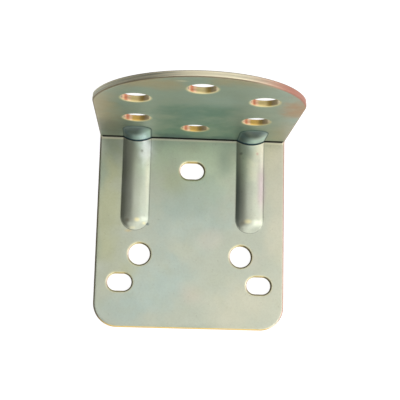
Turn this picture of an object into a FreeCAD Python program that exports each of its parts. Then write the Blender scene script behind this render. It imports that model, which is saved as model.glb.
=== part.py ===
import FreeCAD, Part
import math
import os

# A mounting bracket stamped from one sheet of steel: a flat plate with a 90 degree fold at one end,
# an upright flange with a round end, and two stiffening beads that run across the fold.
# The plate lies on its back. X is the width, +Y points at the flange, +Z is up. The origin is at
# the middle of the overall length and width, at the level of the back of the plate. Sizes in mm.

# Sheet
sheet_thickness = 2.5
bend_radius = 0.6  # inside the fold
edge_break = 0.5  # taken off every cut edge, on the side that faces into the corner

# Flange: its round end and its bolt circle share one centre
bolt_circle = 55.0
bolt_count = 6
bolt_hole = 10.5
bolt_centre_height = 48.0  # above the back of the plate
flange_margin = 13.5  # bolt centres to the edge of the round end
flange_swell = 1.0  # radius of the round end over half of the width
shoulder_radius = 20.0  # where the parallel sides turn into the round end

# Plate
plate_length = 84.0  # free end to the back of the flange
plate_corner_radius = 10.0
slot_width = 7.2
slot_length = 10.2
slot_side_distance = 10.6  # middle of a lower slot to the side of the plate
slot_end_distance = 18.7  # lower slots to the free end
round_hole = 9.0
round_hole_pitch = 43.0
round_hole_rise = 12.1  # lower slots to the round holes
single_slot_distance = 16.7  # single slot to the back of the flange

# Beads, pressed inwards across the fold
bead_pitch = 49.0
bead_shift = 0.6  # the pair sits this far to the right of the middle
bead_width = 11.8  # where the crown's curve meets the face of the sheet
bead_height = 2.1
bead_foot_radius = 1.2
bead_hole_gap = 5.3  # end of a bead on the plate to the row of round holes
bead_bolt_gap = 7.6  # end of a bead on the flange to the bolt hole above it

# Worked out from the sizes above
flange_radius = bolt_circle / 2 + flange_margin
half_width = flange_radius - flange_swell
shoulder_rise = math.sqrt((flange_radius - shoulder_radius) ** 2 - (half_width - shoulder_radius) ** 2)
back_y = plate_length / 2
inner_y = back_y - sheet_thickness
free_y = -plate_length / 2
slot_row_y = free_y + slot_end_distance
round_row_y = slot_row_y + round_hole_rise
single_slot_y = back_y - single_slot_distance
crown_radius = (bead_width**2 / 4 + bead_height**2) / (2 * bead_height)
crown_z = sheet_thickness + bead_height - crown_radius
foot_z = sheet_thickness + bead_foot_radius
foot_x = math.sqrt((crown_radius + bead_foot_radius) ** 2 - (foot_z - crown_z) ** 2)

TOLERANCE = 1e-4


def vec(x, y, z):
    return FreeCAD.Vector(x, y, z)


def plate_outline():
    """Plate with its two rounded corners at the free end, as a closed wire on the back's level."""
    r = plate_corner_radius
    diagonal = r * (1 - math.sqrt(0.5))
    left, right = -half_width, half_width
    return Part.Wire(
        [
            Part.makeLine(vec(left, back_y, 0), vec(left, free_y + r, 0)),
            Part.Arc(
                vec(left, free_y + r, 0),
                vec(left + diagonal, free_y + diagonal, 0),
                vec(left + r, free_y, 0),
            ).toShape(),
            Part.makeLine(vec(left + r, free_y, 0), vec(right - r, free_y, 0)),
            Part.Arc(
                vec(right - r, free_y, 0),
                vec(right - diagonal, free_y + diagonal, 0),
                vec(right, free_y + r, 0),
            ).toShape(),
            Part.makeLine(vec(right, free_y + r, 0), vec(right, back_y, 0)),
            Part.makeLine(vec(right, back_y, 0), vec(left, back_y, 0)),
        ]
    )


def shoulder_point(side, turn):
    """Point of a shoulder's arc, the given angle above the horizontal from its middle."""
    x = half_width - shoulder_radius + shoulder_radius * math.cos(turn)
    z = bolt_centre_height + shoulder_rise + shoulder_radius * math.sin(turn)
    return vec(side * x, inner_y, z)


def flange_outline():
    """Flange with parallel sides, shoulders and a round end, as a closed wire on its inner face."""
    turn = math.asin(shoulder_rise / (flange_radius - shoulder_radius))
    foot = [vec(side * half_width, inner_y, 0) for side in (-1, 1)]
    shoulders = [[shoulder_point(side, turn * part) for part in (0, 0.5, 1)] for side in (-1, 1)]
    left, right = shoulders
    return Part.Wire(
        [
            Part.makeLine(foot[0], foot[1]),
            Part.makeLine(foot[1], right[0]),
            Part.Arc(*right).toShape(),
            Part.Arc(right[2], vec(0, inner_y, bolt_centre_height + flange_radius), left[2]).toShape(),
            Part.Arc(*reversed(left)).toShape(),
            Part.makeLine(left[0], foot[0]),
        ]
    )


def bolt_centres():
    """Bolt holes as (x, z), the first at the top of the circle."""
    step = 2 * math.pi / bolt_count
    return [
        (
            bolt_circle / 2 * math.sin(i * step),
            bolt_centre_height + bolt_circle / 2 * math.cos(i * step),
        )
        for i in range(bolt_count)
    ]


def plate_slots():
    """Middles of the slots, which all run along X."""
    slot_x = half_width - slot_side_distance
    return [(-slot_x, slot_row_y), (slot_x, slot_row_y), (0, single_slot_y)]


def plate_rounds():
    """Middles of the round holes in the plate."""
    return [(side * round_hole_pitch / 2, round_row_y) for side in (-1, 1)]


def slot_punch(x, y):
    r = slot_width / 2
    reach = (slot_length - slot_width) / 2
    low = -sheet_thickness
    high = 3 * sheet_thickness
    ends = [Part.makeCylinder(r, high, vec(x + side * reach, y, low)) for side in (-1, 1)]
    middle = Part.makeBox(2 * reach, slot_width, high, vec(x - reach, y - r, low))
    return middle.fuse(ends).removeSplitter()


def punches():
    """Everything that goes through the blank."""
    high = 3 * sheet_thickness
    tools = [slot_punch(x, y) for x, y in plate_slots()]
    for x, y in plate_rounds():
        tools.append(Part.makeCylinder(round_hole / 2, high, vec(x, y, -sheet_thickness)))
    for x, z in bolt_centres():
        start = vec(x, inner_y - sheet_thickness, z)
        tools.append(Part.makeCylinder(bolt_hole / 2, high, start, vec(0, 1, 0)))
    return tools


def on_rim(point):
    """Beside a hole, no further from its middle than its edge."""
    rims = [(x, y, slot_length) for x, y in plate_slots()]
    rims += [(x, y, round_hole) for x, y in plate_rounds()]
    if point.z > sheet_thickness + TOLERANCE:
        rims = [(x, z, bolt_hole) for x, z in bolt_centres()]
        point = vec(point.x, point.z, 0)
    return any(math.hypot(point.x - x, point.y - y) < size / 2 + TOLERANCE for x, y, size in rims)


def half_skin(crown, foot, level):
    """One face of a bead in section, from its crown line out to its foot: two tangent arcs."""
    angle = math.asin(foot_x / (crown_radius + bead_foot_radius))

    def on_crown(turn):
        return vec(crown * math.sin(turn), 0, crown_z + crown * math.cos(turn))

    def on_foot(turn):
        return vec(foot_x - foot * math.sin(turn), 0, foot_z - foot * math.cos(turn))

    crown_arc = Part.Arc(on_crown(0), on_crown(angle / 2), on_crown(angle))
    foot_arc = Part.Arc(on_crown(angle), on_foot(angle / 2), vec(foot_x, 0, level))
    return [crown_arc.toShape(), foot_arc.toShape()]


def half_section():
    """Half of the beaded sheet in section, of one thickness all the way."""
    inner = half_skin(crown_radius, bead_foot_radius, sheet_thickness)
    outer = half_skin(crown_radius - sheet_thickness, bead_foot_radius + sheet_thickness, 0)
    top = crown_z + crown_radius
    middle = Part.makeLine(vec(0, 0, top - sheet_thickness), vec(0, 0, top))
    wall = Part.makeLine(vec(foot_x, 0, 0), vec(foot_x, 0, sheet_thickness))
    edges = Part.__sortEdges__(inner + outer + [middle, wall])
    return Part.Face(Part.Wire(edges))


def bead_run(length):
    """Beaded sheet that runs along +Y from the middle of its domed end."""
    half = half_section()
    strip = half.extrude(vec(0, length, 0))
    dome = half.revolve(vec(0, 0, 0), vec(0, 0, 1), -180)
    other_strip = strip.mirror(vec(0, 0, 0), vec(1, 0, 0))
    return strip.fuse([other_strip, dome]).removeSplitter()


def bead_pocket(length):
    """Flat sheet that a bead takes the place of."""
    strip = Part.makeBox(2 * foot_x, length, sheet_thickness, vec(-foot_x, 0, 0))
    return strip.fuse(Part.makeCylinder(foot_x, sheet_thickness)).removeSplitter()


def plate_side():
    """Room on the plate's side of the 45 degree plane through the fold."""
    reach = 2 * plate_length
    corners = [
        vec(-half_width, inner_y + reach, sheet_thickness - reach),
        vec(-half_width, inner_y - reach, sheet_thickness + reach),
        vec(-half_width, inner_y - reach, sheet_thickness - reach),
    ]
    triangle = Part.Face(Part.makePolygon(corners + corners[:1]))
    return triangle.extrude(vec(2 * half_width, 0, 0))


def over_the_fold(shape):
    """Mirror image in the 45 degree plane, which carries the plate onto the flange."""
    return shape.mirror(vec(0, inner_y, sheet_thickness), vec(0, 1, 1))


def bead_lengths():
    """From the back of the fold to the middle of the dome, on the plate and on the flange."""
    dome_y = round_row_y + round_hole / 2 + bead_hole_gap + foot_x
    above_bead = [
        z for x, z in bolt_centres()
        if abs(x - bead_pitch / 2) < (bolt_hole + bead_width) / 2
    ]
    dome_z = min(above_bead) - bolt_hole / 2 - bead_bolt_gap - foot_x
    return back_y - dome_y, dome_z


def add_beads(blank):
    """Swap flat sheet for beaded sheet, mitred where a bead turns up the flange."""
    on_plate, on_flange = bead_lengths()
    mitre = plate_side()
    pockets = []
    beads = []
    for side in (-1, 1):
        for length in (on_plate, on_flange):
            place = vec(side * bead_pitch / 2 + bead_shift, back_y - length, 0)
            pocket = bead_pocket(length).translated(place)
            bead = bead_run(length).translated(place).common(mitre)
            if length == on_flange:
                pocket = over_the_fold(pocket)
                bead = over_the_fold(bead)
            pockets.append(pocket)
            beads.append(bead)
    return blank.cut(pockets).fuse(beads).removeSplitter()


def edges_where(shape, test):
    """Edges whose ends and middle all pass the test."""
    chosen = []
    for edge in shape.Edges:
        first, last = edge.FirstParameter, edge.LastParameter
        points = [edge.valueAt(first + (last - first) * part) for part in (0, 0.25, 0.5, 1)]
        if all(test(point) for point in points):
            chosen.append(edge)
    return chosen


def on_mitre(point):
    return abs(point.y - inner_y + point.z - sheet_thickness) < TOLERANCE


def in_front(point):
    """On or inside the faces that look into the corner."""
    return point.z > sheet_thickness - TOLERANCE and point.y < inner_y + TOLERANCE


def round_the_fold(shape):
    inner = edges_where(shape, lambda p: on_mitre(p) and in_front(p))
    shape = shape.makeFillet(bend_radius, inner)
    outer = edges_where(shape, lambda p: on_mitre(p) and p.z < sheet_thickness - TOLERANCE)
    return shape.makeFillet(bend_radius + sheet_thickness, outer)


def on_cut_edge(point):
    """In line with the outline that the blank was cut to."""
    if abs(point.x) > half_width - TOLERANCE:
        return True
    if abs(point.z - sheet_thickness) < TOLERANCE:
        return point.y < free_y + plate_corner_radius + TOLERANCE
    return point.z > bolt_centre_height - TOLERANCE


def build_bracket():
    plate = Part.Face(plate_outline()).extrude(vec(0, 0, sheet_thickness))
    flange = Part.Face(flange_outline()).extrude(vec(0, sheet_thickness, 0))
    bracket = add_beads(plate.fuse(flange).removeSplitter())
    bracket = round_the_fold(bracket)
    outline = edges_where(bracket, lambda p: in_front(p) and on_cut_edge(p))
    bracket = bracket.makeChamfer(edge_break, outline)
    bracket = bracket.cut(punches())
    rims = edges_where(bracket, lambda p: in_front(p) and on_rim(p))
    return bracket.makeChamfer(edge_break, rims).Solids[0]


os.makedirs("parts", exist_ok=True)
bracket = build_bracket()
bracket.exportStep("parts/bracket.step")
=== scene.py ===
"""A mounting bracket stamped from zinc plated sheet steel: a plate, a flange with a round end and a ring
of bolt holes, and two beads pressed across the fold. Sizes are in metres, in the frame of the solids."""

import math

import bmesh
import bpy
import numpy as np
from bpy.props import FloatProperty, FloatVectorProperty, IntProperty, PointerProperty
from bpy.types import Operator, Panel, PropertyGroup
from mathutils import Matrix, Vector
from mathutils.geometry import delaunay_2d_cdt


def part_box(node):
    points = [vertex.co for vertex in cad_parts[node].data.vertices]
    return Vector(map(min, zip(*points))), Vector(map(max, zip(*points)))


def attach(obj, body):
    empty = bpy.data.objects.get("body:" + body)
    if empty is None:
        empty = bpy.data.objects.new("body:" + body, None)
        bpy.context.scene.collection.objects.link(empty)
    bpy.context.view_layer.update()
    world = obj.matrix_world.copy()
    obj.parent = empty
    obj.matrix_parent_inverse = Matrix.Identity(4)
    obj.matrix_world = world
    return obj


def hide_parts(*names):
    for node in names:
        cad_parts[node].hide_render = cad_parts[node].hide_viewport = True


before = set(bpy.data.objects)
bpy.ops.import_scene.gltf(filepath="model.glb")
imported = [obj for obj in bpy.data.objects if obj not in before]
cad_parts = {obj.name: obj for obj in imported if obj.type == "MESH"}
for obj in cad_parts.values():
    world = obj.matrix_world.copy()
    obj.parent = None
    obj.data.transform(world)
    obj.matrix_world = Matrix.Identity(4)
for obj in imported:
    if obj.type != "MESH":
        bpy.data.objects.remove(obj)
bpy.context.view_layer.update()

bl_info = {
    "name": "Stamped bracket",
    "version": (1, 0, 0),
    "blender": (4, 5, 0),
    "location": "View3D > Sidebar > Bracket",
    "description": "Zinc plated mounting bracket with two beads across its fold",
    "category": "Object",
}

MM = 0.001
LOW, HIGH = (np.array(corner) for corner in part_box("bracket"))

# Steps of the mesh: outline, its corners, openings, torn edge, beads, fold and flats
SIDE_STEP = 1.0 * MM
CORNER_STEP = 0.8 * MM
OPENING_STEP = 0.5 * MM
TORN_STEP = 0.3 * MM
BEAD_STEP = 1.5 * MM
FOLD_STEP = 2.0 * MM
FLAT_STEP = 3.0 * MM
# Angles of the rows round the fold, from the plate to the flange
FOLD_TURNS = np.linspace(0, np.pi / 2, 9)
# Strength of the painted shade in the fold: two rows on the plate, nine round the fold and two on the
# flange
FOLD_SHADE = np.array([0.0] * 3 + [0.4, 0.9] + [1.0] * 7 + [0.1])
# Strength of the painted shade along a bead's feet, on the plate and on the flange
FOOT_SHADE = (0.42, 0.6)
# Unevenness of the torn edge: its height, how far it is smoothed, and its random draws
TORN_HEIGHT = 0.025 * MM
TORN_SMOOTH = 1.5
OUTLINE_SEED = 11
OPENING_SEED = 20
# Points this close are merged, and lengths this small count as none
MERGE = 2e-6
HAIR = 1e-7


def joined(*parts):
    """Coordinates side by side, with single numbers spread over the arrays."""
    return np.stack(np.broadcast_arrays(*parts), -1)


def length(name, description, default, low=0.0):
    """A size in metres that the sidebar shows in the scene's unit."""
    return FloatProperty(
        name=name, description=description, default=default, min=low, precision=5, subtype="DISTANCE",
        unit="LENGTH",
    )


def share(name, description, default, high=1.0, low=0.0):
    """A number with no unit."""
    return FloatProperty(
        name=name, description=description, default=default, min=low, max=high, subtype="FACTOR",
    )


def linear(level):
    """A screen level from 0 to 255 as the light that it stands for."""
    level = level / 255
    return level / 12.92 if level <= 0.04045 else ((level + 0.055) / 1.055) ** 2.4


def paint(name, description, red, green, blue):
    """A colour given by its screen levels."""
    return FloatVectorProperty(
        name=name, description=description, default=[linear(level) for level in (red, green, blue)],
        min=0.0, max=1.0, subtype="COLOR",
    )


class BracketSheetSizes(PropertyGroup):
    """The blank, its fold and its cut edges."""

    thickness: length("Sheet thickness", "Thickness of the steel", 2.5 * MM)
    bend_radius: length("Bend radius", "Inside radius of the fold", 0.6 * MM)
    width: length("Width", "Side to side", HIGH[0] - LOW[0])
    plate_length: length("Plate length", "Free end to the back of the flange", HIGH[1] - LOW[1])
    height: length("Height", "Back of the plate to the top of the flange", HIGH[2] - LOW[2])
    corner_radius: length("Corner radius", "Corners at the free end of the plate", 10.0 * MM)
    shoulder_radius: length("Shoulder radius", "Where a side turns into the round end", 20.0 * MM)
    roll_width: length("Edge roll width", "How far the punch drew the face in at a cut edge", 0.95 * MM)
    roll_depth: length("Edge roll depth", "How deep the face rolls over at a cut edge", 0.5 * MM)
    shear_depth: length("Sheared depth", "Where the torn part of a cut edge begins", 1.15 * MM)
    tear_taper: length("Tear taper", "How far the torn edge leans back", 0.07 * MM)
    halo: length("Rim width", "Band of face round a cut edge that keeps its own tint", 1.8 * MM)


class BracketHoleSizes(PropertyGroup):
    """Everything that is punched through the sheet."""

    bolt_circle: length("Bolt circle", "Diameter through the middles of the bolt holes", 55.0 * MM)
    bolt_count: IntProperty(name="Bolt holes", description="Number in all", default=6, min=1, max=24)
    bolt_hole: length("Bolt hole", "Diameter of a bolt hole", 10.5 * MM)
    bolt_height: length("Bolt circle height", "Back of the plate to the middle of the circle", 48.0 * MM)
    slot_width: length("Slot width", "Width of the three slots", 7.2 * MM)
    slot_length: length("Slot length", "Length of the three slots", 10.2 * MM)
    slot_side: length("Slot to side", "Middle of a lower slot to the side of the plate", 10.6 * MM)
    slot_end: length("Slot to end", "Lower slots to the free end", 18.7 * MM)
    round_hole: length("Round hole", "Diameter of the two round holes", 9.0 * MM)
    round_pitch: length("Round hole pitch", "Between the round holes", 43.0 * MM)
    round_rise: length("Round hole rise", "Lower slots to the round holes", 12.1 * MM)
    single_slot: length("Single slot", "Single slot to the back of the flange", 16.7 * MM)


class BracketBeadSizes(PropertyGroup):
    """The two beads that stiffen the fold."""

    pitch: length("Bead pitch", "Between the two beads", 49.0 * MM)
    shift: length("Bead shift", "How far the pair stands right of the middle", 0.6 * MM, -5.0 * MM)
    width: length("Bead width", "Where the crown would meet the face", 11.8 * MM)
    height: length("Bead height", "Crown above the face", 2.1 * MM)
    foot_radius: length("Foot radius", "Hollow curve along the foot", 1.2 * MM)
    plate_power: share("Power on plate", "Squareness of the ends there, 2 for round", 2.05, 4.0, 2.0)
    flange_power: share("Power on flange", "Squareness of the ends there, 2 for round", 2.7, 4.0, 2.0)
    plate_end: length("Bead on plate", "Back of the flange to the end of a bead", 43.4 * MM)
    flange_end: length("Bead on flange", "Back of the plate to the end of a bead", 21.4 * MM)


class BracketFinish(PropertyGroup):
    """Zinc plate with a clear blue and yellow passivate."""

    zinc: paint("Zinc", "Most of the plate", 189, 194, 177)
    # Moss: green passivate tint beside the fold, made lighter there as painted light
    moss: paint("Moss", "Green cloud beside the fold", 206, 218, 192)
    straw: paint("Straw", "Yellow clouds along the left side", 183, 186, 153)
    blue: paint("Blue", "Blue clouds", 174, 195, 190)
    rose: paint("Rose", "Faint pink clouds", 216, 196, 176)
    # Cream: the passivate's tint on the plate's right side, lighter there as painted light from the right
    cream: paint("Cream", "Right side of the plate", 203, 202, 181)
    # Teal: the passivate's blue-green on the flange, deepened low in the middle as painted shade
    teal: paint("Teal", "Lower part of the flange", 114, 147, 131)
    # Sage: the flange's ground, darker than the plate's zinc as painted shade on the upright face, and
    # painted shade on the plate's shaded parts
    sage: paint("Sage", "Most of the flange and shaded parts of the plate", 155, 169, 153)
    tan: paint("Tan", "Left side of the flange", 174, 163, 131)
    copper: paint("Copper", "Right tip of the flange", 172, 141, 106)
    # Slate: painted shade on the flange beads above their foot, on the left flanks of the plate's beads
    # and low on the left of the flange, and the grey of the sheared cut edges and their streaks
    slate: paint("Slate", "Beads on the flange and grey of cut edges", 104, 117, 113)
    # Cut edge: the pale of a lit cut edge; also painted light on the upper right of the plate, painted
    # highlights on the bright flank of the left bead and on the plate beside the fold, and a scuff on the
    # flange
    edge: paint("Cut edge", "Edge of the flange in the light", 243, 235, 207)
    salmon: paint("Salmon", "Edge of the flange that faces right", 194, 140, 122)
    umber: paint("Umber", "Edge of the flange that faces left", 206, 200, 174)
    # White: a painted highlight on the bright side of the left bead beside the fold
    white: paint("White", "Bright side of the left bead beside the fold", 255, 255, 255)
    blush: paint("Blush", "Streaks on the bright side of the right bead", 188, 171, 175)
    # Mint: a painted reflection of the plate at the foot and on the right of the flange beads
    mint: paint("Mint", "Foot of the beads on the flange", 190, 216, 214)
    # Gold: the hole walls' own colour and a stain; on the plate's free end it is a painted highlight on
    # the rolled edge
    gold: paint("Gold", "Walls of the holes", 226, 192, 110)
    # Pale gold: the upper bolt holes' walls and yellow spots at the beads' ends; round the openings' rims
    # and where the bolt holes roll over at the face it is a painted highlight
    straw_edge: paint("Pale gold", "Upper bolt holes and rims in the plate", 232, 222, 174)
    amber: paint("Amber", "Hole walls that turn right", 246, 214, 178)
    petal: paint("Petal", "Edge of the plate that faces right", 186, 142, 128)
    ember: paint("Ember", "Hole walls that face right", 228, 152, 118)
    brass: paint("Brass", "Hole walls left of their middle", 188, 166, 102)
    # Brown: painted shade on the plate's rolled edge that faces left and on the line along the flange's
    # edge beside its inner face, and the real brown of the back of the cut, the grain, specks and small
    # spots
    brown: paint("Brown", "Edge of the plate that faces left, and specks", 110, 98, 74)
    # Olive: hole walls that face left, and painted shade on walls that face down or towards the fold
    olive: paint("Olive", "Hole walls that face left or down", 92, 82, 44)
    # This colour is painted shade in the fold, along the beads' feet and low on the left of the flange
    # beads, and the dark of a pit near the fold
    grime: paint("Shade", "Dark line in the fold and along the feet of the beads", 22, 27, 27)
    # Navy: painted shade along the feet of the flange beads, on their left and low on the flange by the
    # fold; also the colour of a nick beside the left bead
    navy: paint("Navy", "Lines along the feet on the flange", 52, 84, 96)
    roughness: share("Roughness", "Of the plate's faces", 0.4)
    flange_roughness: share("Flange roughness", "Of the flange's faces", 0.5)


class BracketStage(PropertyGroup):
    """Floor, lamps and world."""

    overhead: share("Overhead panel", "Its brightness", 1.25, 5.0)
    side: share("Side panels", "Their brightness", 1.6, 5.0)
    spot: share("Spot", "Brightness of the small panel on the right", 10.0, 20.0)
    surround: share("Surround", "Brightness of the world", 0.1, 1.0)
    shade: share("Floor shade", "How much of the floor's white the shadow can take", 0.1)


class Plan:
    """Everything that is worked out from the sizes."""

    def __init__(self, scene):
        sheet, holes, beads = scene.bracket_sheet, scene.bracket_holes, scene.bracket_beads
        self.sheet, self.holes, self.beads = sheet, holes, beads
        self.half = sheet.width / 2
        self.back_y = HIGH[1]
        self.free_y = HIGH[1] - sheet.plate_length
        self.inner_y = HIGH[1] - sheet.thickness
        self.fold_y = self.inner_y - sheet.bend_radius
        self.fold_z = sheet.thickness + sheet.bend_radius
        self.round_z = holes.bolt_height
        self.round_radius = sheet.height - holes.bolt_height
        self.band = 1.2 * MM
        self.bead_x = [beads.shift + side * beads.pitch / 2 for side in (-1, 1)]
        self.crown = (beads.width**2 / 4 + beads.height**2) / (2 * beads.height)
        centre = beads.height - self.crown
        self.foot_x = math.sqrt((self.crown + beads.foot_radius) ** 2 - (beads.foot_radius - centre) ** 2)
        self.slope = math.asin(self.foot_x / (self.crown + beads.foot_radius))

    def on_plate(self, x, w, h):
        """Point of the plate: w away from the fold, h above the face."""
        return joined(x, self.fold_y - w, self.sheet.thickness + h)

    def on_flange(self, x, w, h):
        """Point of the flange: w up from the fold, h in front of the face."""
        return joined(x, self.inner_y - h, self.fold_z + w)

    def on_fold(self, x, rise, level, turn):
        """Point of the fold, an arc of radius bend - level about a line that stands rise further in:
        (x, fold_y - rise + radius sin turn, fold_z + rise - radius cos turn)."""
        radius = self.sheet.bend_radius - level
        y = self.fold_y - rise + radius * np.sin(turn)
        return joined(x, y, self.fold_z + rise - radius * np.cos(turn))

    def plate_openings(self):
        """Openings in the plate as rows of (x, w, radius, half of the straight run)."""
        holes = self.holes
        slot_y = self.free_y + holes.slot_end
        run = (holes.slot_length - holes.slot_width) / 2
        slot_x = self.half - holes.slot_side
        low, high = self.fold_y - slot_y, self.fold_y - (self.back_y - holes.single_slot)
        rounds = low - holes.round_rise
        slots = ((-slot_x, low), (slot_x, low), (0.0, high))
        pair = [(side * holes.round_pitch / 2, rounds, holes.round_hole / 2, 0.0) for side in (-1, 1)]
        return [(x, w, holes.slot_width / 2, run) for x, w in slots] + pair

    def flange_openings(self):
        """Bolt holes as rows of (x, w, radius, 0), the first at the top."""
        holes = self.holes
        turn = np.arange(holes.bolt_count) * 2 * np.pi / holes.bolt_count
        x = holes.bolt_circle / 2 * np.sin(turn)
        w = self.round_z - self.fold_z + holes.bolt_circle / 2 * np.cos(turn)
        return [(float(a), float(b), holes.bolt_hole / 2, 0.0) for a, b in zip(x, w)]

    def bead_ends(self):
        """Middle of a bead's domed end and the power of its outline, on the plate and on the flange."""
        plate = self.beads.plate_end - self.sheet.thickness - self.sheet.bend_radius - self.foot_x
        flange = self.beads.flange_end - self.fold_z - self.foot_x
        return (plate, self.beads.plate_power), (flange, self.beads.flange_power)


# Layers kept on the points; crease holds the strength of the painted shade in the fold and along the
# beads' feet
LAYERS = ("wall", "through", "opening", "rim", "facing", "raised", "crease", "crown")


class Shell:
    """Patches of one surface, gathered into one mesh."""

    def __init__(self):
        self.points, self.faces, self.count = [], [], 0
        self.layers = {name: [] for name in LAYERS}

    def add(self, points, faces, **layers):
        """Points (n, 3) and faces of their indices, with one or n values for each layer that isn't 0."""
        points = points.reshape(-1, 3)
        for name in LAYERS:
            self.layers[name].append(np.broadcast_to(layers.get(name, 0.0), len(points)))
        self.points.append(points)
        self.faces += (faces + self.count).tolist()
        self.count += len(points)

    def add_grid(self, grid, closed=False, **layers):
        """Grid (rows, columns, 3) as quads, closed round its columns or not."""
        rows, columns = grid.shape[:2]
        index = np.arange(rows * columns).reshape(rows, columns)
        if closed:
            index = np.concatenate([index, index[:, :1]], axis=1)
        quads = joined(index[:-1, :-1], index[:-1, 1:], index[1:, 1:], index[1:, :-1])
        for name, value in layers.items():
            layers[name] = np.broadcast_to(value, (rows, columns)).reshape(-1)
        self.add(grid, quads.reshape(-1, 4), **layers)

    def make(self, name):
        """One closed mesh: doubles merged at the seams, faces turned outwards."""
        mesh = bpy.data.meshes.new(name)
        mesh.from_pydata(np.concatenate(self.points), [], self.faces)
        for layer, parts in self.layers.items():
            attribute = mesh.attributes.new(layer, "FLOAT", "POINT")
            attribute.data.foreach_set("value", np.concatenate(parts).astype(np.float32))
        form = bmesh.new()
        form.from_mesh(mesh)
        bmesh.ops.remove_doubles(form, verts=form.verts, dist=MERGE)
        bmesh.ops.recalc_face_normals(form, faces=form.faces)
        if form.calc_volume(signed=True) < 0:
            bmesh.ops.reverse_faces(form, faces=form.faces)
        open_edges = sum(not edge.is_manifold for edge in form.edges)
        if open_edges:
            raise RuntimeError(f"{name} has {open_edges} open edges")
        form.to_mesh(mesh)
        form.free()
        mesh.shade_smooth()
        thing = bpy.data.objects.new(name, mesh)
        bpy.context.scene.collection.objects.link(thing)
        return thing


def spread(start, end, step):
    """Evenly spaced values from start to end, about step apart."""
    return np.linspace(start, end, max(2, int(round(abs(end - start) / step)) + 1))


def opening_path(x, w, radius, run):
    """Closed path of an opening in (x, w): two half circles, run either side of the middle, and the lines
    between them. Returns its points and the directions into the opening."""
    turn = spread(-np.pi / 2, np.pi / 2, OPENING_STEP / radius)
    right = joined(run + radius * np.cos(turn), radius * np.sin(turn))
    normal = -joined(np.cos(turn), np.sin(turn))
    if run == 0.0:
        path = np.concatenate([right[:-1], -right[:-1]])
        return path + (x, w), np.concatenate([normal[:-1], -normal[:-1]])
    line = spread(run, -run, OPENING_STEP)[1:-1]
    over = joined(line, radius)
    path = np.concatenate([right, over, -right, -over])
    down = np.broadcast_to((0.0, -1.0), over.shape)
    return path + (x, w), np.concatenate([normal, down, -normal, -down])


def side_lines(plan, end):
    """Distances from the fold along a side of the sheet, close together beside the fold."""
    return np.concatenate([[0.0, plan.band / 2, plan.band], spread(plan.band, end, SIDE_STEP)[1:]])


def mirrored(side, corner, middle):
    """A run from the left end to the right one, given its left side, left corner and middle part."""
    flip = (-1, 1)
    return np.concatenate([side, corner, middle, (corner * flip)[::-1], (side * flip)[::-1]])


def plate_path(plan):
    """Outline of the plate in (x, w) from the left end of the fold round to the right end, with its
    outward directions: straight sides, two quarter circles and the free end."""
    radius, half = plan.sheet.corner_radius, plan.half
    end = plan.fold_y - plan.free_y
    side = side_lines(plan, end - radius)
    turn = spread(0, np.pi / 2, CORNER_STEP / radius)[1:]
    free = spread(-half + radius, half - radius, SIDE_STEP)[1:-1]
    left = joined(-half, side)
    corner = joined(-half + radius - radius * np.cos(turn), end - radius + radius * np.sin(turn))
    bottom = joined(free, end)
    out_left = np.broadcast_to((-1.0, 0.0), left.shape)
    out_corner = joined(-np.cos(turn), np.sin(turn))
    out_bottom = np.broadcast_to((0.0, 1.0), bottom.shape)
    return mirrored(left, corner, bottom), mirrored(out_left, out_corner, out_bottom)


def flange_path(plan):
    """Outline of the flange in (x, w) from the left end of the fold to the right, with its outward
    directions: straight sides, a shoulder's arc on each and the arc of the round end, all tangent."""
    shoulder = plan.sheet.shoulder_radius
    across = plan.half - shoulder
    rise = math.sqrt((plan.round_radius - shoulder) ** 2 - across**2)
    swing = math.atan2(rise, across)
    middle = plan.round_z - plan.fold_z
    side = side_lines(plan, middle + rise)
    lean = spread(0, swing, SIDE_STEP / shoulder)[1:]
    turn = spread(np.pi - swing, swing, SIDE_STEP / plan.round_radius)[1:-1]
    left = joined(-plan.half, side)
    corner = joined(-across - shoulder * np.cos(lean), middle + rise + shoulder * np.sin(lean))
    arch = joined(plan.round_radius * np.cos(turn), middle + plan.round_radius * np.sin(turn))
    out_left = np.broadcast_to((-1.0, 0.0), left.shape)
    out_corner = joined(-np.cos(lean), np.sin(lean))
    out_arch = joined(np.cos(turn), np.sin(turn))
    return mirrored(left, corner, arch), mirrored(out_left, out_corner, out_arch)


def edge_profile(plan):
    """Section of a cut edge as (inset, depth, wall, rim): the face, a quarter ellipse where the punch
    rolled it over, the sheared land, the torn part that leans back, a small round and the back face."""
    sheet = plan.sheet
    turn = np.linspace(0, np.pi / 2, 7)
    small = 0.18 * MM
    lean_run = 0.4 * MM
    roll = joined(sheet.roll_width * (1 - np.sin(turn)), sheet.roll_depth * (1 - np.cos(turn)))
    torn = spread(sheet.shear_depth, sheet.thickness - small, TORN_STEP)
    lean = sheet.tear_taper * np.clip((torn - sheet.shear_depth) / lean_run, 0, 1)
    bend = np.linspace(0, np.pi / 2, 4)[1:]
    last = sheet.tear_taper + small
    back = joined(last - small * np.cos(bend), sheet.thickness - small + small * np.sin(bend))
    section = np.concatenate([
        [[sheet.halo, 0.0], [(sheet.halo + sheet.roll_width) / 2, 0.0]],
        roll,
        [[0.0, (sheet.roll_depth + sheet.shear_depth) / 2]],
        joined(lean, torn),
        back,
        [[sheet.halo, sheet.thickness]],
    ])
    inset, depth = section.T
    wall = np.clip((depth - 0.03 * sheet.roll_depth) / (0.25 * sheet.roll_depth), 0, 1)
    wall[-2:] = 0.0
    rim = np.clip(1 - inset / sheet.halo, 0, 1)
    return inset, depth, wall, rim


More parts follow.
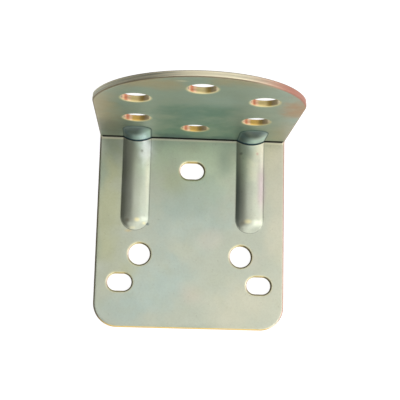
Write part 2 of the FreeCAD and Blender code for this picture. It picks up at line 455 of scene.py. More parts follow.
def ragged(count, rows, smooth, seed):
    """Smooth random heights round a closed path, rows of them, each between about -1 and 1."""
    noise = np.random.default_rng(seed).normal(size=(rows, count))
    reach = np.minimum(np.arange(count), count - np.arange(count))
    kernel = np.exp(-0.5 * (reach / smooth) ** 2)
    kernel /= np.sqrt((kernel**2).sum())
    return np.real(np.fft.ifft(np.fft.fft(noise) * np.fft.fft(kernel))) * 0.5


def edge_band(shell, plan, start, outward, inward, opening, seed, shade=0.0):
    """Cut edge: the profile carried along a closed path. A point is
    start - inset * outward + depth * inward, and the torn part is uneven by a few hundredths of a
    millimetre. Its flat front rows take on the painted shade of the fold line where the path crosses
    that."""
    inset, depth, wall, rim = edge_profile(plan)
    torn = (depth > plan.sheet.shear_depth) & (wall > 0.5)
    uneven = ragged(len(start), len(depth), TORN_SMOOTH, seed) * torn[:, None] * TORN_HEIGHT
    flat = ((depth == 0.0) & (wall == 0.0)).astype(float)[:, None]
    inset = inset[:, None] + np.abs(uneven)
    depth = depth[:, None]
    grid = start - inset[..., None] * outward + depth[..., None] * inward
    shell.add_grid(
        grid, closed=True, wall=wall[:, None], through=depth / plan.sheet.thickness, rim=rim[:, None],
        opening=float(opening), facing=outward[:, 0], raised=outward[:, 2] - outward[:, 1],
        crease=flat * shade,
    )


def carried(place, path, normal):
    """Start, outward and inward directions in space of a path on a side of the sheet."""
    start = place(path[:, 0], path[:, 1], 0.0)
    outward = place(path[:, 0] + normal[:, 0], path[:, 1] + normal[:, 1], 0.0) - start
    inward = place(path[:, 0], path[:, 1], -1.0) - start
    return start, outward, inward


def outline_edge(shell, plan):
    """The cut edge that runs right round the blank, over both ends of the fold."""
    turn = FOLD_TURNS[1:-1]
    plate = carried(plan.on_plate, *plate_path(plan))
    flange = [part[::-1] for part in carried(plan.on_flange, *flange_path(plan))]
    ends = []
    for side, turns in ((1.0, turn), (-1.0, turn[::-1])):
        start = plan.on_fold(side * plan.half, 0.0, 0.0, turns)
        outward = np.broadcast_to((side, 0.0, 0.0), start.shape)
        inward = joined(0.0, np.sin(turns), -np.cos(turns))
        ends.append((start, outward, inward))
    parts = [plate, ends[0], flange, ends[1]]
    # The fold's painted shade carries on along the outline's flat front rows beside the fold
    beside = np.zeros(len(flange[0]))
    beside[:3], beside[-3:] = FOLD_SHADE[10:], FOLD_SHADE[:9:-1]
    shade = np.concatenate([np.zeros(len(plate[0])), FOLD_SHADE[3:10], beside, FOLD_SHADE[9:2:-1]])
    edge_band(shell, plan, *(np.concatenate(group) for group in zip(*parts)), False, OUTLINE_SEED, shade)


def bead_section(plan, level):
    """Half of a bead's section as (offset, rise) from the crown to the foot, at a level of the sheet: two
    arcs that touch, on the same centres at the face and at the back."""
    beads = plan.beads
    crown, foot = plan.crown + level, beads.foot_radius - level
    along = np.linspace(0, plan.slope, 15)
    hollow = np.linspace(plan.slope, 0, 9)[1:]
    offset = np.concatenate([crown * np.sin(along), plan.foot_x - foot * np.sin(hollow)])
    height = np.concatenate([
        beads.height - plan.crown + crown * np.cos(along),
        beads.foot_radius - foot * np.cos(hollow),
    ])
    # Painted shade along the foot: none on the crown, strongest in the hollow
    shade = np.concatenate([np.zeros(len(along) - 1), [0.5], [1.0, 1.0], np.linspace(0.9, 0, 6)])
    return offset, height - level, shade


def domed_end(power):
    """Outline of a bead's end for a foot 1 from its middle: points (cos t, sin t), each raised to
    2 / power with its sign kept."""
    cos, sin = np.cos(np.linspace(0, np.pi, 33)), np.sin(np.linspace(0, np.pi, 33))
    return np.sign(cos) * np.abs(cos) ** (2 / power), np.abs(sin) ** (2 / power)


def bead(shell, plan, x, level):
    """One skin of a bead: its section carried along the plate, round the fold and up the flange, with a
    dome at each end that is half of the section turned about its middle."""
    offset, rise, shade = bead_section(plan, level)
    across = np.concatenate([-offset[:0:-1], offset])
    lift = np.concatenate([rise[:0:-1], rise])
    foot = np.concatenate([shade[:0:-1], shade])
    near = np.array([0.0, plan.band / 2, plan.band])[:, None]
    front = float(level == 0.0)
    halves = []
    for place, (end, power) in zip((plan.on_plate, plan.on_flange), plan.bead_ends()):
        part = spread(0, 1, BEAD_STEP / end)[1:, None]
        w = np.concatenate([lift + near, lift + plan.band + (end - lift - plan.band) * part])
        halves.append(place(x + across, w, lift + level))
        across_end, along_end = domed_end(power)
        over, beyond = offset[:, None] * across_end, offset[:, None] * along_end
        dome = place(x + over, end + beyond, (rise + level)[:, None])
        # Painted shade round the foot of the domed end
        sides = np.full_like(across_end, FOOT_SHADE[1])
        if place == plan.on_plate:
            sides = 0.02 + 0.3 * np.abs(across_end) ** 8
        crown = (rise / plan.beads.height)[:, None]
        shell.add_grid(dome, crease=front * sides * shade[:, None], crown=crown)
    fold = plan.on_fold(x + across, lift, level, FOLD_TURNS[1:-1, None])
    grid = np.concatenate([halves[0][::-1], fold, halves[1]])
    # Painted shade of the fold where the bead crosses it, and along its feet
    corner = np.zeros((len(grid), 1))
    first = len(halves[0])
    corner[first - 3: first + 10, 0] = FOLD_SHADE
    climb = np.ones((len(grid), 1)) * FOOT_SHADE[0]
    climb[first + len(fold):] = FOOT_SHADE[1]
    crease = front * np.maximum(corner, climb * foot)
    shell.add_grid(grid, crease=crease, crown=lift / plan.beads.height)


def fold_gaps(plan):
    """Runs of the fold between the sides and the beads, as values of x."""
    stops = [-plan.half + plan.sheet.halo]
    for x in plan.bead_x:
        stops += [x - plan.foot_x, x + plan.foot_x]
    stops.append(plan.half - plan.sheet.halo)
    return [spread(a, b, FOLD_STEP) for a, b in zip(stops[::2], stops[1::2])]


def fold_strips(shell, plan, level):
    """The fold between the beads, with a narrow band of plate and of flange beside it."""
    near = np.array([plan.band, plan.band / 2])[:, None]
    for x in fold_gaps(plan):
        grid = np.concatenate([
            plan.on_plate(x, near, level),
            plan.on_fold(x, 0.0, level, FOLD_TURNS[:, None]),
            plan.on_flange(x, near[::-1], level),
        ])
        # Painted shade of the fold line, on the face only
        shell.add_grid(grid, crease=FOLD_SHADE[:, None] * float(level == 0.0))


def from_opening(points, x, w, run):
    """Distance of points (n, 2) from the straight run in the middle of an opening."""
    return np.hypot(np.maximum(np.abs(points[:, 0] - x) - run, 0), points[:, 1] - w)


def from_bead(points, x, end, power):
    """Distance of points (n, 2) from the middle line of a bead, measured as its end is squared."""
    across, beyond = np.abs(points[:, 0] - x), np.maximum(points[:, 1] - end, 0)
    return (across**power + beyond**power) ** (1 / power)


def flat_sides(shell, plan, place, outline, openings, bead_end):
    """Flat part of a side, face and back alike: triangles between the inner lines of all its cut edges,
    the feet of the beads and the line beside the fold, over a loose grid of points."""
    halo = plan.sheet.halo
    end, power = bead_end
    path, normal = outline
    ring = path - halo * normal
    rings = [path - halo * normal for path, normal in (opening_path(*opening) for opening in openings)]
    along = plan.band + (end - plan.band) * spread(0, 1, BEAD_STEP / end)
    across_end, along_end = (part[-2:0:-1] for part in domed_end(power))
    foot = np.concatenate([
        joined(-plan.foot_x, along),
        joined(plan.foot_x * across_end, end + plan.foot_x * along_end),
        joined(plan.foot_x, along[::-1]),
    ])
    chains = [ring[ring[:, 1] > plan.band - HAIR]]
    chains += [foot + (x, 0) for x in plan.bead_x]
    chains += [joined(x, plan.band) for x in fold_gaps(plan)]
    edges_of = np.concatenate(rings + chains)
    x, w = np.meshgrid(np.arange(-14, 15) * FLAT_STEP, np.arange(0, 30) * FLAT_STEP)
    x = x + (np.arange(30) % 2)[:, None] * FLAT_STEP / 2
    loose = joined(x, w).reshape(-1, 2)
    gap = np.hypot(*(loose[:, None] - edges_of[None]).transpose(2, 0, 1)).min(axis=1)
    loose = loose[(gap > 0.45 * FLAT_STEP) & sheet_between(plan, loose, outline, openings, bead_end)]
    points = np.concatenate([edges_of, loose])
    links, count = [], 0
    for group, closed in ((rings, True), (chains, False)):
        for line in group:
            index = np.arange(count, count + len(line))
            pairs = joined(index, np.roll(index, -1))
            links += (pairs if closed else pairs[:-1]).tolist()
            count += len(line)
    result = delaunay_2d_cdt([Vector(point) for point in points * 1000], links, [], 0, 1e-4)
    kept = np.array([points[group[0]] for group in result[3]])
    faces = np.array(result[2])
    faces = faces[sheet_between(plan, kept[faces].mean(axis=1), outline, openings, bead_end)]
    for level in (0.0, -plan.sheet.thickness):
        shell.add(place(kept[:, 0], kept[:, 1], level), faces, through=-level / plan.sheet.thickness)


def sheet_between(plan, points, outline, openings, bead_end):
    """Which points (n, 2) lie on the flat of a side: inside its outline, clear of openings and beads."""
    path, normal = outline
    ring = path - plan.sheet.halo * normal
    fits = ((points[:, None] - ring[None]) * normal[None]).sum(axis=2).max(axis=1) < HAIR
    fits &= points[:, 1] > plan.band
    for x, w, radius, run in openings:
        fits &= from_opening(points, x, w, run) > radius + plan.sheet.halo - 0.02 * MM
    for x in plan.bead_x:
        fits &= from_bead(points, x, *bead_end) > plan.foot_x - 0.01 * MM
    return fits


def build_sheet(plan):
    """The whole stamping as one closed surface."""
    shell = Shell()
    outline_edge(shell, plan)
    sides = (
        (plan.on_plate, plate_path(plan), plan.plate_openings()),
        (plan.on_flange, flange_path(plan), plan.flange_openings()),
    )
    seed = OPENING_SEED
    for (place, outline, openings), bead_end in zip(sides, plan.bead_ends()):
        for opening in openings:
            seed += 1
            edge_band(shell, plan, *carried(place, *opening_path(*opening)), True, seed)
        flat_sides(shell, plan, place, outline, openings, bead_end)
    for level in (0.0, -plan.sheet.thickness):
        fold_strips(shell, plan, level)
        for x in plan.bead_x:
            bead(shell, plan, x, level)
    return shell.make("bracket_sheet")


class Nodes:
    """Short calls for the nodes of one tree."""

    def __init__(self, tree):
        self.tree = tree

    def add(self, kind, sockets=(), **settings):
        """A node with its settings, and its sockets fed by name or number."""
        node = self.tree.nodes.new(kind)
        for name, value in settings.items():
            setattr(node, name, value)
        for name, value in dict(sockets).items():
            self.feed(node.inputs[name], value)
        return node

    def feed(self, socket, value):
        if isinstance(value, bpy.types.NodeSocket):
            self.tree.links.new(value, socket)
        elif hasattr(value, "__len__") and len(value) == 3 and socket.type == "RGBA":
            socket.default_value = (*value, 1.0)
        else:
            socket.default_value = value

    def maths(self, operation, *values):
        return self.add("ShaderNodeMath", enumerate(values), operation=operation).outputs[0]

    def times(self, first, second):
        return self.maths("MULTIPLY", first, second)


class Patterns(Nodes):
    """Patterns that follow the part, on its Object coordinates and its layers."""

    def __init__(self, tree, finish):
        super().__init__(tree)
        self.finish = finish
        self.place = self.add("ShaderNodeTexCoord").outputs["Object"]

    def tint(self, colour):
        """A colour of the finish from its name, or any other colour as it is."""
        return getattr(self.finish, colour) if isinstance(colour, str) else colour

    def layer(self, name):
        return self.add("ShaderNodeAttribute", attribute_name=name).outputs["Fac"]

    def noise(self, size, shift=(0, 0, 0), detail=2.0, roughness=0.5):
        """Noise whose features are about size metres across."""
        place = self.add("ShaderNodeMapping", {"Vector": self.place, "Location": shift}).outputs["Vector"]
        sockets = {"Vector": place, "Scale": 1 / size, "Detail": detail, "Roughness": roughness}
        return self.add("ShaderNodeTexNoise", sockets).outputs["Fac"]

    def ramp(self, value, low, high, bottom=0.0, top=1.0):
        """Smooth step of a value from low to high, written out as bottom to top."""
        sockets = enumerate((value, low, high, bottom, top))
        return self.add("ShaderNodeMapRange", sockets, interpolation_type="SMOOTHSTEP").outputs["Result"]

    def mix(self, factor, first, second):
        sockets = {0: factor, 6: self.tint(first), 7: self.tint(second)}
        return self.add("ShaderNodeMix", sockets, data_type="RGBA").outputs[2]

    def stops(self, value, *stops):
        """Colours blended between stops, each a position from 0 to 1 and a colour."""
        node = self.add("ShaderNodeValToRGB", {"Fac": value})
        ramp = node.color_ramp
        ramp.interpolation = "EASE"
        for position, colour in stops[2:]:
            ramp.elements.new(position)
        for element, (position, colour) in zip(ramp.elements, stops):
            element.position = position
            element.color = (*self.tint(colour), 1.0)
        return node.outputs["Color"]

    def near(self, middle, size, wobble):
        """Soft patch: 1 at its middle, 0 outside the ellipsoid of half sizes size, in millimetres. A
        wobble from 0 to 1 pushes its edge in and out."""
        place = self.place
        for operation, vector in (("SUBTRACT", middle), ("DIVIDE", size)):
            sockets = {0: place, 1: Vector(vector) * MM}
            place = self.add("ShaderNodeVectorMath", sockets, operation=operation).outputs["Vector"]
        reach = self.add("ShaderNodeVectorMath", {0: place}, operation="LENGTH").outputs["Value"]
        if wobble is not None:
            reach = self.maths("ADD", reach, self.ramp(wobble, 0.2, 0.8, -0.35, 0.35))
        return self.ramp(reach, 1.0, 0.1)

    def clouds(self, colour, wobble, *clouds):
        """Colour with clouds over it, each a middle, half sizes, a colour and a strength."""
        for middle, size, tint, strength in clouds:
            patch = self.near(middle, size, wobble)
            colour = self.mix(self.times(patch, strength), colour, tint)
        return colour


def plate_faces(nodes, wobble):
    """Plate: green near the fold, yellow on the left, cream on the right, blue and pink between. These
    are the passivate's tints, made lighter on the right and beside the fold as painted light and sage
    where the plate lies in shade as painted shade, with painted highlights of white and pale cream on the
    bright flanks of the beads.
    """
    rows = (
        (4, 32, 38, 24, "moss", 0.9),
        (34, 34, 16, 18, "edge", 0.65),
        (-36, 32, 9, 16, "sage", 0.9),
        (-2, 6, 26, 20, "blue", 0.5),
        (-2, 14, 24, 18, "sage", 0.35),
        (-37, 10, 12, 44, "straw", 0.9),
        (-8, 22, 10, 12, "straw", 0.5),
        (14, 30, 6, 11, "sage", 0.6),
        (-40, 22, 5, 16, "sage", 0.7),
        (-41, -10, 4, 26, "sage", 0.4),
        (0, -43, 40, 4, "sage", 0.5),
        (40, 6, 18, 46, "cream", 1.0),
        (26, -32, 24, 16, "cream", 0.9),
        (-12, -24, 22, 18, "blue", 0.5),
        (-28, -36, 14, 10, "blue", 0.4),
        (1, -28, 8, 7, "rose", 0.3),
        (8, -4, 9, 6, "rose", 0.25),
        (-27, -18, 8, 5, "straw", 0.6),
        (26, -12, 10, 7, "rose", 0.25),
    )
    rows = (((x, y, 3), (wide, tall, 12), tint, strength) for x, y, wide, tall, tint, strength in rows)
    return nodes.clouds(
        "zinc", wobble, *rows,
        ((30, 20, 5), (2.8, 24, 8), "blush", 0.75),
        ((-19, 20, 5), (1.8, 19, 8), "edge", 0.3),
        ((-20, 36, 5), (6, 11, 8), "white", 1.0),
    )


def flange_faces(nodes, wobble):
    """Flange: teal low in the middle, blue above it, tan to the left and copper to the right. Its sage
    ground, darker than the plate's zinc, and the teal, navy and slate low down by the fold are partly
    painted shade on the upright face.
    """
    rows = (
        (0, 10, 34, 34, "teal", 1.0),
        (0, 46, 22, 17, "teal", 0.85),
        (8, 62, 12, 12, "blue", 0.3),
        (-32, 52, 7, 10, "teal", 0.5),
        (-38, 40, 12, 60, "tan", 0.9),
        (-24, 82, 26, 12, "tan", 0.9),
        (22, 84, 22, 9, "tan", 0.5),
        (42, 62, 15, 30, "copper", 1.0),
        (38, 20, 8, 30, "tan", 0.5),
        (-36, 16, 14, 26, "slate", 0.5),
        (0, 4, 28, 9, "navy", 0.65),
        (34, 56, 8, 10, "copper", 0.4),
        (12, 87, 16, 8, "tan", 0.7),
    )
    rows = (((x, 40, z), (wide, 20, tall), tint, strength) for x, z, wide, tall, tint, strength in rows)
    return nodes.clouds("sage", wobble, *rows)


def hole_colours(nodes, upright, height):
    """Hole walls by the way they face. In the flange ember where they face right, then amber, gold,
    brass and tan, with pale ends, and paler the higher they are. In the plate olive where they face left
    and rose where they face right. Walls that face down or the fold are darker, as painted shade. The
    colours by facing are partly painted reflection over the passivate's own tints, and the bolt holes'
    pale gold where they roll over at the face is a painted highlight."""
    turn = nodes.maths("MULTIPLY_ADD", nodes.layer("facing"), 0.5, 0.5)
    through = nodes.layer("through")
    rows = []
    for main in ("gold", "straw_edge"):
        rows.append(nodes.stops(
            turn, (0.0, "edge"), (0.07, "tan"), (0.16, "tan"), (0.27, "brass"), (0.45, main),
            (0.62, main), (0.74, "amber"), (0.85, "ember"), (0.94, "amber"), (1.0, "blush"),
        ))
    bolts = nodes.mix(nodes.ramp(height, 44 * MM, 62 * MM, 0.0, 0.8), *rows)
    bolts = nodes.mix(nodes.ramp(through, 0.14, 0.06, 0.0, 0.8), bolts, "straw_edge")
    plate = nodes.stops(turn, (0.3, "olive"), (0.5, "brass"), (0.75, "straw_edge"), (1.0, "rose"))
    colour = nodes.mix(upright, plate, bolts)
    return nodes.mix(nodes.ramp(nodes.layer("raised"), -0.3, -0.95, 0.0, 0.5), colour, "olive")


def outline_colours(nodes, upright):
    """Outline by the way it faces: umber or brown on the left, cream on top, salmon or petal on the right
    and gold at the free end. On the plate its sheared part is tan, then grey, then copper. On the flange
    lines run along it, the darkest beside the inner face. The plate's brown on the left and the flange's
    dark line beside the inner face are painted shade on the rolled edge, the plate's gold at the free
    end is a painted highlight on it, and the flange's cream on top is partly painted light."""
    through, facing = nodes.layer("through"), nodes.layer("facing")
    turn = nodes.maths("MULTIPLY_ADD", facing, 0.5, 0.5)
    flange = nodes.stops(
        turn, (0.15, "umber"), (0.42, "edge"), (0.62, "edge"), (0.9, "salmon"), (0.97, "salmon"),
        (1.0, "copper"),
    )
    plate = nodes.stops(turn, (0.0, "brown"), (0.3, "gold"), (0.6, "gold"), (0.8, "edge"), (1.0, "petal"))
    sheared = nodes.stops(turn, (0.5, "tan"), (0.62, "slate"), (0.93, "slate"), (1.0, "copper"))
    plate = nodes.mix(nodes.ramp(through, 0.16, 0.28, 0.0, 0.9), plate, sheared)
    colour = nodes.mix(upright, plate, flange)
    sockets = {"X": nodes.times(through, 9.0), "Y": nodes.times(facing, 2.0)}
    along = nodes.add("ShaderNodeCombineXYZ", sockets).outputs["Vector"]
    lines = nodes.add("ShaderNodeTexNoise", {"Vector": along, "Scale": 1.0, "Detail": 2.0})
    strength = nodes.ramp(facing, -0.1, -0.45, 0.1, 0.6)
    streak = nodes.ramp(lines.outputs["Fac"], 0.44, 0.58, 0.0, strength)
    colour = nodes.mix(nodes.times(streak, upright), colour, "slate")
    left = nodes.ramp(facing, 0.7, 0.3, 0.2, 0.85)
    inner = nodes.times(nodes.ramp(through, 0.22, 0.15), left)
    colour = nodes.mix(nodes.times(inner, upright), colour, "brown")
    return nodes.mix(nodes.ramp(through, 0.86, 0.95, 0.0, 0.5), colour, "brown")


def marks(nodes, colour):
    """Small marks: a stain and a nick beside the left bead, brown and yellow spots at the ends of both
    beads, pits near the fold, a scuff at the top of the flange and faint specks."""
    spots = (
        ((-26.5, -1.4, 3), (2.4, 1.0, 3), "gold", 0.35),
        ((-27, 3, 4), (1.7, 1.5, 4), "brown", 0.5),
        ((-23, 3.2, 4), (1.8, 1.3, 4), "straw_edge", 0.9),
        ((-19.8, 1.8, 4), (1.3, 1.0, 4), "straw_edge", 0.7),
        ((-25, -0.2, 4), (2.4, 1.0, 4), "straw_edge", 0.4),
        ((21.9, 3, 4), (1.9, 1.9, 4), "brown", 0.4),
        ((24.2, 3.8, 4), (2.4, 1.5, 4), "straw_edge", 0.8),
        ((-18.4, 1.6, 3), (1.1, 0.9, 3), "navy", 0.6),
        ((-21.8, 33, 5), (0.9, 0.9, 3), "brown", 0.5),
        ((21, 33.5, 4), (1.0, 1.0, 4), "grime", 0.5),
        ((28, 33.5, 4), (0.9, 1.0, 4), "salmon", 0.5),
        ((-7.6, 39.5, 84), (3.2, 3, 1.0), "edge", 0.5),
    )
    colour = nodes.clouds(colour, None, *spots)
    specks = nodes.ramp(nodes.noise(1.3 * MM, (1.2, 0.4, 0.9), detail=1.0), 0.7, 0.78, 0.0, 0.14)
    return nodes.mix(specks, colour, "brown")


def bead_faces(nodes, height):
    """Beads on the flange: mint at the foot, slate above, navy on their left and mint on their right. All
    of this is painted light: the slate, navy and darkest clouds are painted shade and the mint a painted
    reflection of the plate.
    """
    return nodes.clouds(
        nodes.mix(nodes.ramp(height, 18 * MM, 11 * MM), "slate", "mint"), None,
        ((-30, 38, 12), (6, 6, 10), "navy", 0.95),
        ((19, 38, 12), (6.5, 6, 10), "navy", 0.95),
        ((-30, 38, 7), (4.5, 6, 6), "grime", 0.6),
        ((19, 38, 7), (5, 6, 6), "grime", 0.6),
        ((-19, 38, 15), (6, 6, 8), "mint", 0.9),
        ((31, 38, 15), (6, 6, 8), "mint", 0.6),
    )


def zinc_plate(finish):
    """Zinc plate: clouded passivate, gold and brown cut edges, painted shade in the fold and along the
    beads' feet, painted light, shade and highlights over the faces and edges, a fine grain.
    """
    material = bpy.data.materials.new("zinc_plated_steel")
    material.use_nodes = True
    tree = material.node_tree
    nodes = Patterns(tree, finish)
    shader = tree.nodes["Principled BSDF"]
    layers = ("wall", "rim", "opening", "crease", "crown")
    wall, rim, opening, crease, crown = map(nodes.layer, layers)
    axes = nodes.add("ShaderNodeSeparateXYZ", {0: nodes.place}).outputs
    beyond = nodes.maths("ADD", axes["Y"], axes["Z"])
    fold = HIGH[1] + LOW[2]
    upright = nodes.ramp(beyond, fold - 0.2 * MM, fold + 0.3 * MM)

    wobble = nodes.noise(16 * MM, (0.3, 0.1, 0.7), detail=3.0, roughness=0.6)
    colour = nodes.mix(upright, plate_faces(nodes, wobble), flange_faces(nodes, wobble))
    on_bead = nodes.times(upright, nodes.ramp(crown, 0.0, 0.3))
    colour = nodes.mix(on_bead, colour, bead_faces(nodes, axes["Z"]))
    # Painted shade on the left flanks of the plate's beads
    flanks = nodes.clouds(
        colour, None,
        ((-31, 16, 4), (4.5, 28, 8), "slate", 0.4),
        ((18, 16, 4), (5, 28, 8), "slate", 0.95),
    )
    colour = nodes.mix(nodes.ramp(crown, 0.0, 0.1), colour, flanks)
    mottle = nodes.noise(5 * MM, (2.1, 0.7, 0.4), detail=3.0)
    colour = nodes.mix(nodes.ramp(mottle, 0.45, 0.75, 0.0, 0.12), colour, "straw")
    grain = nodes.noise(0.9 * MM, detail=4.0, roughness=0.7)
    colour = nodes.mix(nodes.ramp(grain, 0.35, 0.8, 0.0, 0.1), colour, "brown")
    colour = marks(nodes, colour)
    # Painted highlight on the rims round the openings
    halo = nodes.times(nodes.ramp(rim, 0.35, 0.6), opening)
    colour = nodes.mix(nodes.times(halo, 0.35), colour, "straw_edge")
    # Painted highlight on the plate just beside the fold
    beside = nodes.ramp(axes["Y"], HIGH[1] - 4.1 * MM, HIGH[1] - 3.5 * MM, 0.0, 0.6)
    colour = nodes.mix(nodes.times(beside, nodes.ramp(upright, 1.0, 0.0)), colour, "edge")
    outline = outline_colours(nodes, upright)
    holes = hole_colours(nodes, upright, axes["Z"])
    colour = nodes.mix(wall, colour, nodes.mix(opening, outline, holes))
    # Painted shade in the fold and along the feet of the beads, grey on the plate and navy on the flange
    # beads
    navy_shade_mask = nodes.times(upright, nodes.ramp(crown, 0.0, 0.05))
    line = nodes.mix(navy_shade_mask, "grime", "navy")
    colour = nodes.mix(nodes.ramp(crease, 0.1, 0.9, 0.0, 0.95), colour, line)
    foot = nodes.times(nodes.ramp(crown, 0.0, 0.008), nodes.ramp(crown, 0.06, 0.025))
    colour = nodes.mix(nodes.times(foot, 0.4), colour, line)
    nodes.feed(shader.inputs["Base Color"], colour)

    shader.inputs["Metallic"].default_value = 1.0
    uneven = nodes.ramp(nodes.noise(6 * MM, (0.5, 0.5, 0.5), detail=4.0), 0.3, 0.7, -0.03, 0.03)
    rough = nodes.ramp(upright, 0.0, 1.0, finish.roughness, finish.flange_roughness)
    rough = nodes.maths("ADD", rough, uneven)
    rough = nodes.maths("MULTIPLY_ADD", wall, 0.1, rough)
    rough = nodes.maths("MULTIPLY_ADD", crease, 0.2, rough)
    nodes.feed(shader.inputs["Roughness"], rough)

    height = nodes.noise(1.6 * MM, detail=3.0)
    peel = nodes.add("ShaderNodeBump", {"Height": height, "Distance": 0.006 * MM, "Strength": 1.0})
    nodes.feed(shader.inputs["Normal"], peel.outputs["Normal"])
    return material


class BRACKET_OT_sheet(Operator):
    """Build the stamped sheet with its holes, beads and fold"""

    bl_idname = "bracket.sheet"
    bl_label = "Stamped sheet"

    def execute(self, context):
        sheet = build_sheet(Plan(context.scene))
        sheet.data.materials.append(zinc_plate(context.scene.bracket_finish))
        normals = sheet.modifiers.new("Even shading", "WEIGHTED_NORMAL")
        normals.keep_sharp = True
        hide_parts("bracket")
        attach(sheet, "root")
        return {"FINISHED"}


# Point that the lamps look at, and each panel's azimuth, height, two sides, brightness and its group
AIM = Vector((0, 0, 0.03))
PANELS = {
    "back": (95, 58, 0.8, 0.35, 0.75, "overhead"),
    "back left": (120, 50, 0.3, 0.3, 0.4, "overhead"),
    "left": (188, 46, 0.25, 0.25, 0.8, "side"),
    "right high": (10, 59, 0.5, 0.28, 1.05, "side"),
    "front right": (303, 55, 0.6, 0.45, 1.1, "side"),
    "front": (252, 46, 0.9, 0.5, 0.75, "side"),
    "front low": (272, 20, 0.9, 0.35, 1.2, "side"),
    "front right low": (320, 27, 0.7, 0.4, 0.9, "side"),
    "right": (-4, 38, 0.5, 0.45, 1.3, "side"),
    "right low": (0, 16, 0.6, 0.3, 2.0, "side"),
    "spot": (-12, 51, 0.14, 0.14, 1.0, "spot"),
}


def panel_lamp(name, place, wide, tall, brightness):
    """Flat lamp at a place, turned to look at the part, or straight down if it hangs over it. Its power
    is brightness times pi times its area."""
    lamp = bpy.data.lights.new(name, "AREA")
    lamp.shape = "RECTANGLE"
    lamp.size, lamp.size_y = wide, tall
    lamp.energy = brightness * math.pi * wide * tall
    thing = bpy.data.objects.new(name, lamp)
    thing.location = place
    ray = thing.location - AIM
    if ray.z < 0.9 * ray.length:
        thing.rotation_euler = ray.to_track_quat("Z", "Y").to_euler()
    bpy.context.scene.collection.objects.link(thing)


def toward(azimuth, height):
    """Place a metre from the part. Azimuth is from +X towards +Y and height above the floor, both in
    degrees."""
    azimuth, height = math.radians(azimuth), math.radians(height)
    flat = math.cos(height)
    return Vector((flat * math.cos(azimuth), flat * math.sin(azimuth), math.sin(height))) + AIM


# Side of the floor, the hair between it and the part, and the grey that takes the shadow
FLOOR_SIZE = 6.0
FLOOR_GAP = 0.2 * MM
FLOOR_GREY = (0.3, 0.3, 0.3)


def white_floor(shade):
    """Floor that the eye and the metal see as white, less the shade of what stands on it."""
    bpy.ops.mesh.primitive_plane_add(size=FLOOR_SIZE, location=(0, 0, -FLOOR_GAP))
    floor = bpy.context.object
    floor.name = "floor"
    material = bpy.data.materials.new("white_floor")
    material.use_nodes = True
    material.node_tree.nodes.clear()
    nodes = Nodes(material.node_tree)
    rays = nodes.add("ShaderNodeLightPath").outputs
    seen = nodes.maths("MAXIMUM", rays["Is Camera Ray"], rays["Is Glossy Ray"])
    seen = nodes.maths("MAXIMUM", seen, rays["Is Transmission Ray"])
    glow = nodes.add("ShaderNodeEmission", {"Strength": nodes.times(seen, 1.0 - shade)})
    cloth = nodes.add("ShaderNodeBsdfDiffuse", {"Color": FLOOR_GREY})
    both = nodes.add("ShaderNodeAddShader", {0: glow.outputs[0], 1: cloth.outputs[0]})
    nodes.add("ShaderNodeOutputMaterial", {"Surface": both.outputs[0]})
    floor.data.materials.append(material)


def surround(strength):
    """Dim even world, white to the eye so that the picture's edges match the floor."""
    world = bpy.data.worlds.new("surround")
    bpy.context.scene.world = world
    world.use_nodes = True
    nodes = Nodes(world.node_tree)
    eye = nodes.add("ShaderNodeLightPath").outputs["Is Camera Ray"]
    level = nodes.add("ShaderNodeMapRange", {"Value": eye, "To Min": strength, "To Max": 1.0})
    back = world.node_tree.nodes["Background"].inputs
    nodes.feed(back["Color"], (1.0, 1.0, 1.0))
    nodes.feed(back["Strength"], level.outputs["Result"])


# Width of the film in millimetres, and the picture's width and focal length in pixels
FILM = 36.0
PICTURE = 400.0
FOCAL = 858.745


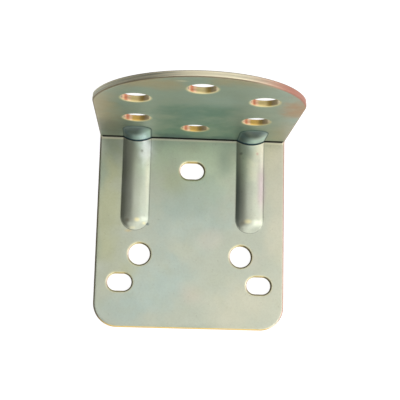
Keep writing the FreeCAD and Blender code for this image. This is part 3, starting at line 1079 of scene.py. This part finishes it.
def set_camera():
    """Camera above the plate, leaning a little back from the free end, as the part was pictured."""
    camera = bpy.data.cameras.new("camera")
    camera.sensor_width = FILM
    camera.lens = FOCAL * FILM / PICTURE
    camera.clip_start = 0.01
    thing = bpy.data.objects.new("camera", camera)
    right = Vector((0.99815, 0.02379, 0.05596))
    up = Vector((-0.03292, 0.98518, 0.16832))
    back = Vector((-0.05113, -0.16985, 0.98414))
    turn = Matrix((right, up, back)).transposed().to_4x4()
    turn.translation = Vector((-15.13, -49.82, 364.91)) * MM
    thing.matrix_world = turn
    bpy.context.scene.collection.objects.link(thing)
    bpy.context.scene.camera = thing


class BRACKET_OT_stage(Operator):
    """Set up the floor, the lamps, the world and the camera"""

    bl_idname = "bracket.stage"
    bl_label = "Stage"

    def execute(self, context):
        stage = context.scene.bracket_stage
        white_floor(stage.shade)
        surround(stage.surround)
        set_camera()
        panel_lamp("overhead", (0.02, 0.04, 1.03), 0.62, 0.66, 0.95 * stage.overhead)
        for name, (azimuth, height, wide, tall, level, group) in PANELS.items():
            panel_lamp(name, toward(azimuth, height), wide, tall, level * getattr(stage, group))
        context.scene.view_settings.view_transform = "Standard"
        return {"FINISHED"}


class BRACKET_PT_sizes(Panel):
    """Sizes, colours and steps of the bracket"""

    bl_label = "Stamped bracket"
    bl_space_type = "VIEW_3D"
    bl_region_type = "UI"
    bl_category = "Bracket"

    def draw(self, context):
        layout = self.layout
        for group, kind in GROUPS:
            box = layout.box()
            values = getattr(context.scene, group)
            for name in values.__annotations__:
                box.prop(values, name)
        layout.operator(BRACKET_OT_sheet.bl_idname)
        layout.operator(BRACKET_OT_stage.bl_idname)


GROUPS = (
    ("bracket_sheet", BracketSheetSizes),
    ("bracket_holes", BracketHoleSizes),
    ("bracket_beads", BracketBeadSizes),
    ("bracket_finish", BracketFinish),
    ("bracket_stage", BracketStage),
)
CLASSES = tuple(kind for name, kind in GROUPS) + (BRACKET_OT_sheet, BRACKET_OT_stage, BRACKET_PT_sizes)


def register():
    for kind in CLASSES:
        bpy.utils.register_class(kind)
    for name, kind in GROUPS:
        setattr(bpy.types.Scene, name, PointerProperty(type=kind))


def unregister():
    for name, kind in GROUPS:
        delattr(bpy.types.Scene, name)
    for kind in reversed(CLASSES):
        bpy.utils.unregister_class(kind)


def main():
    register()
    bpy.ops.bracket.sheet()
    bpy.ops.bracket.stage()
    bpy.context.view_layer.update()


if __name__ == "__main__":
    main()
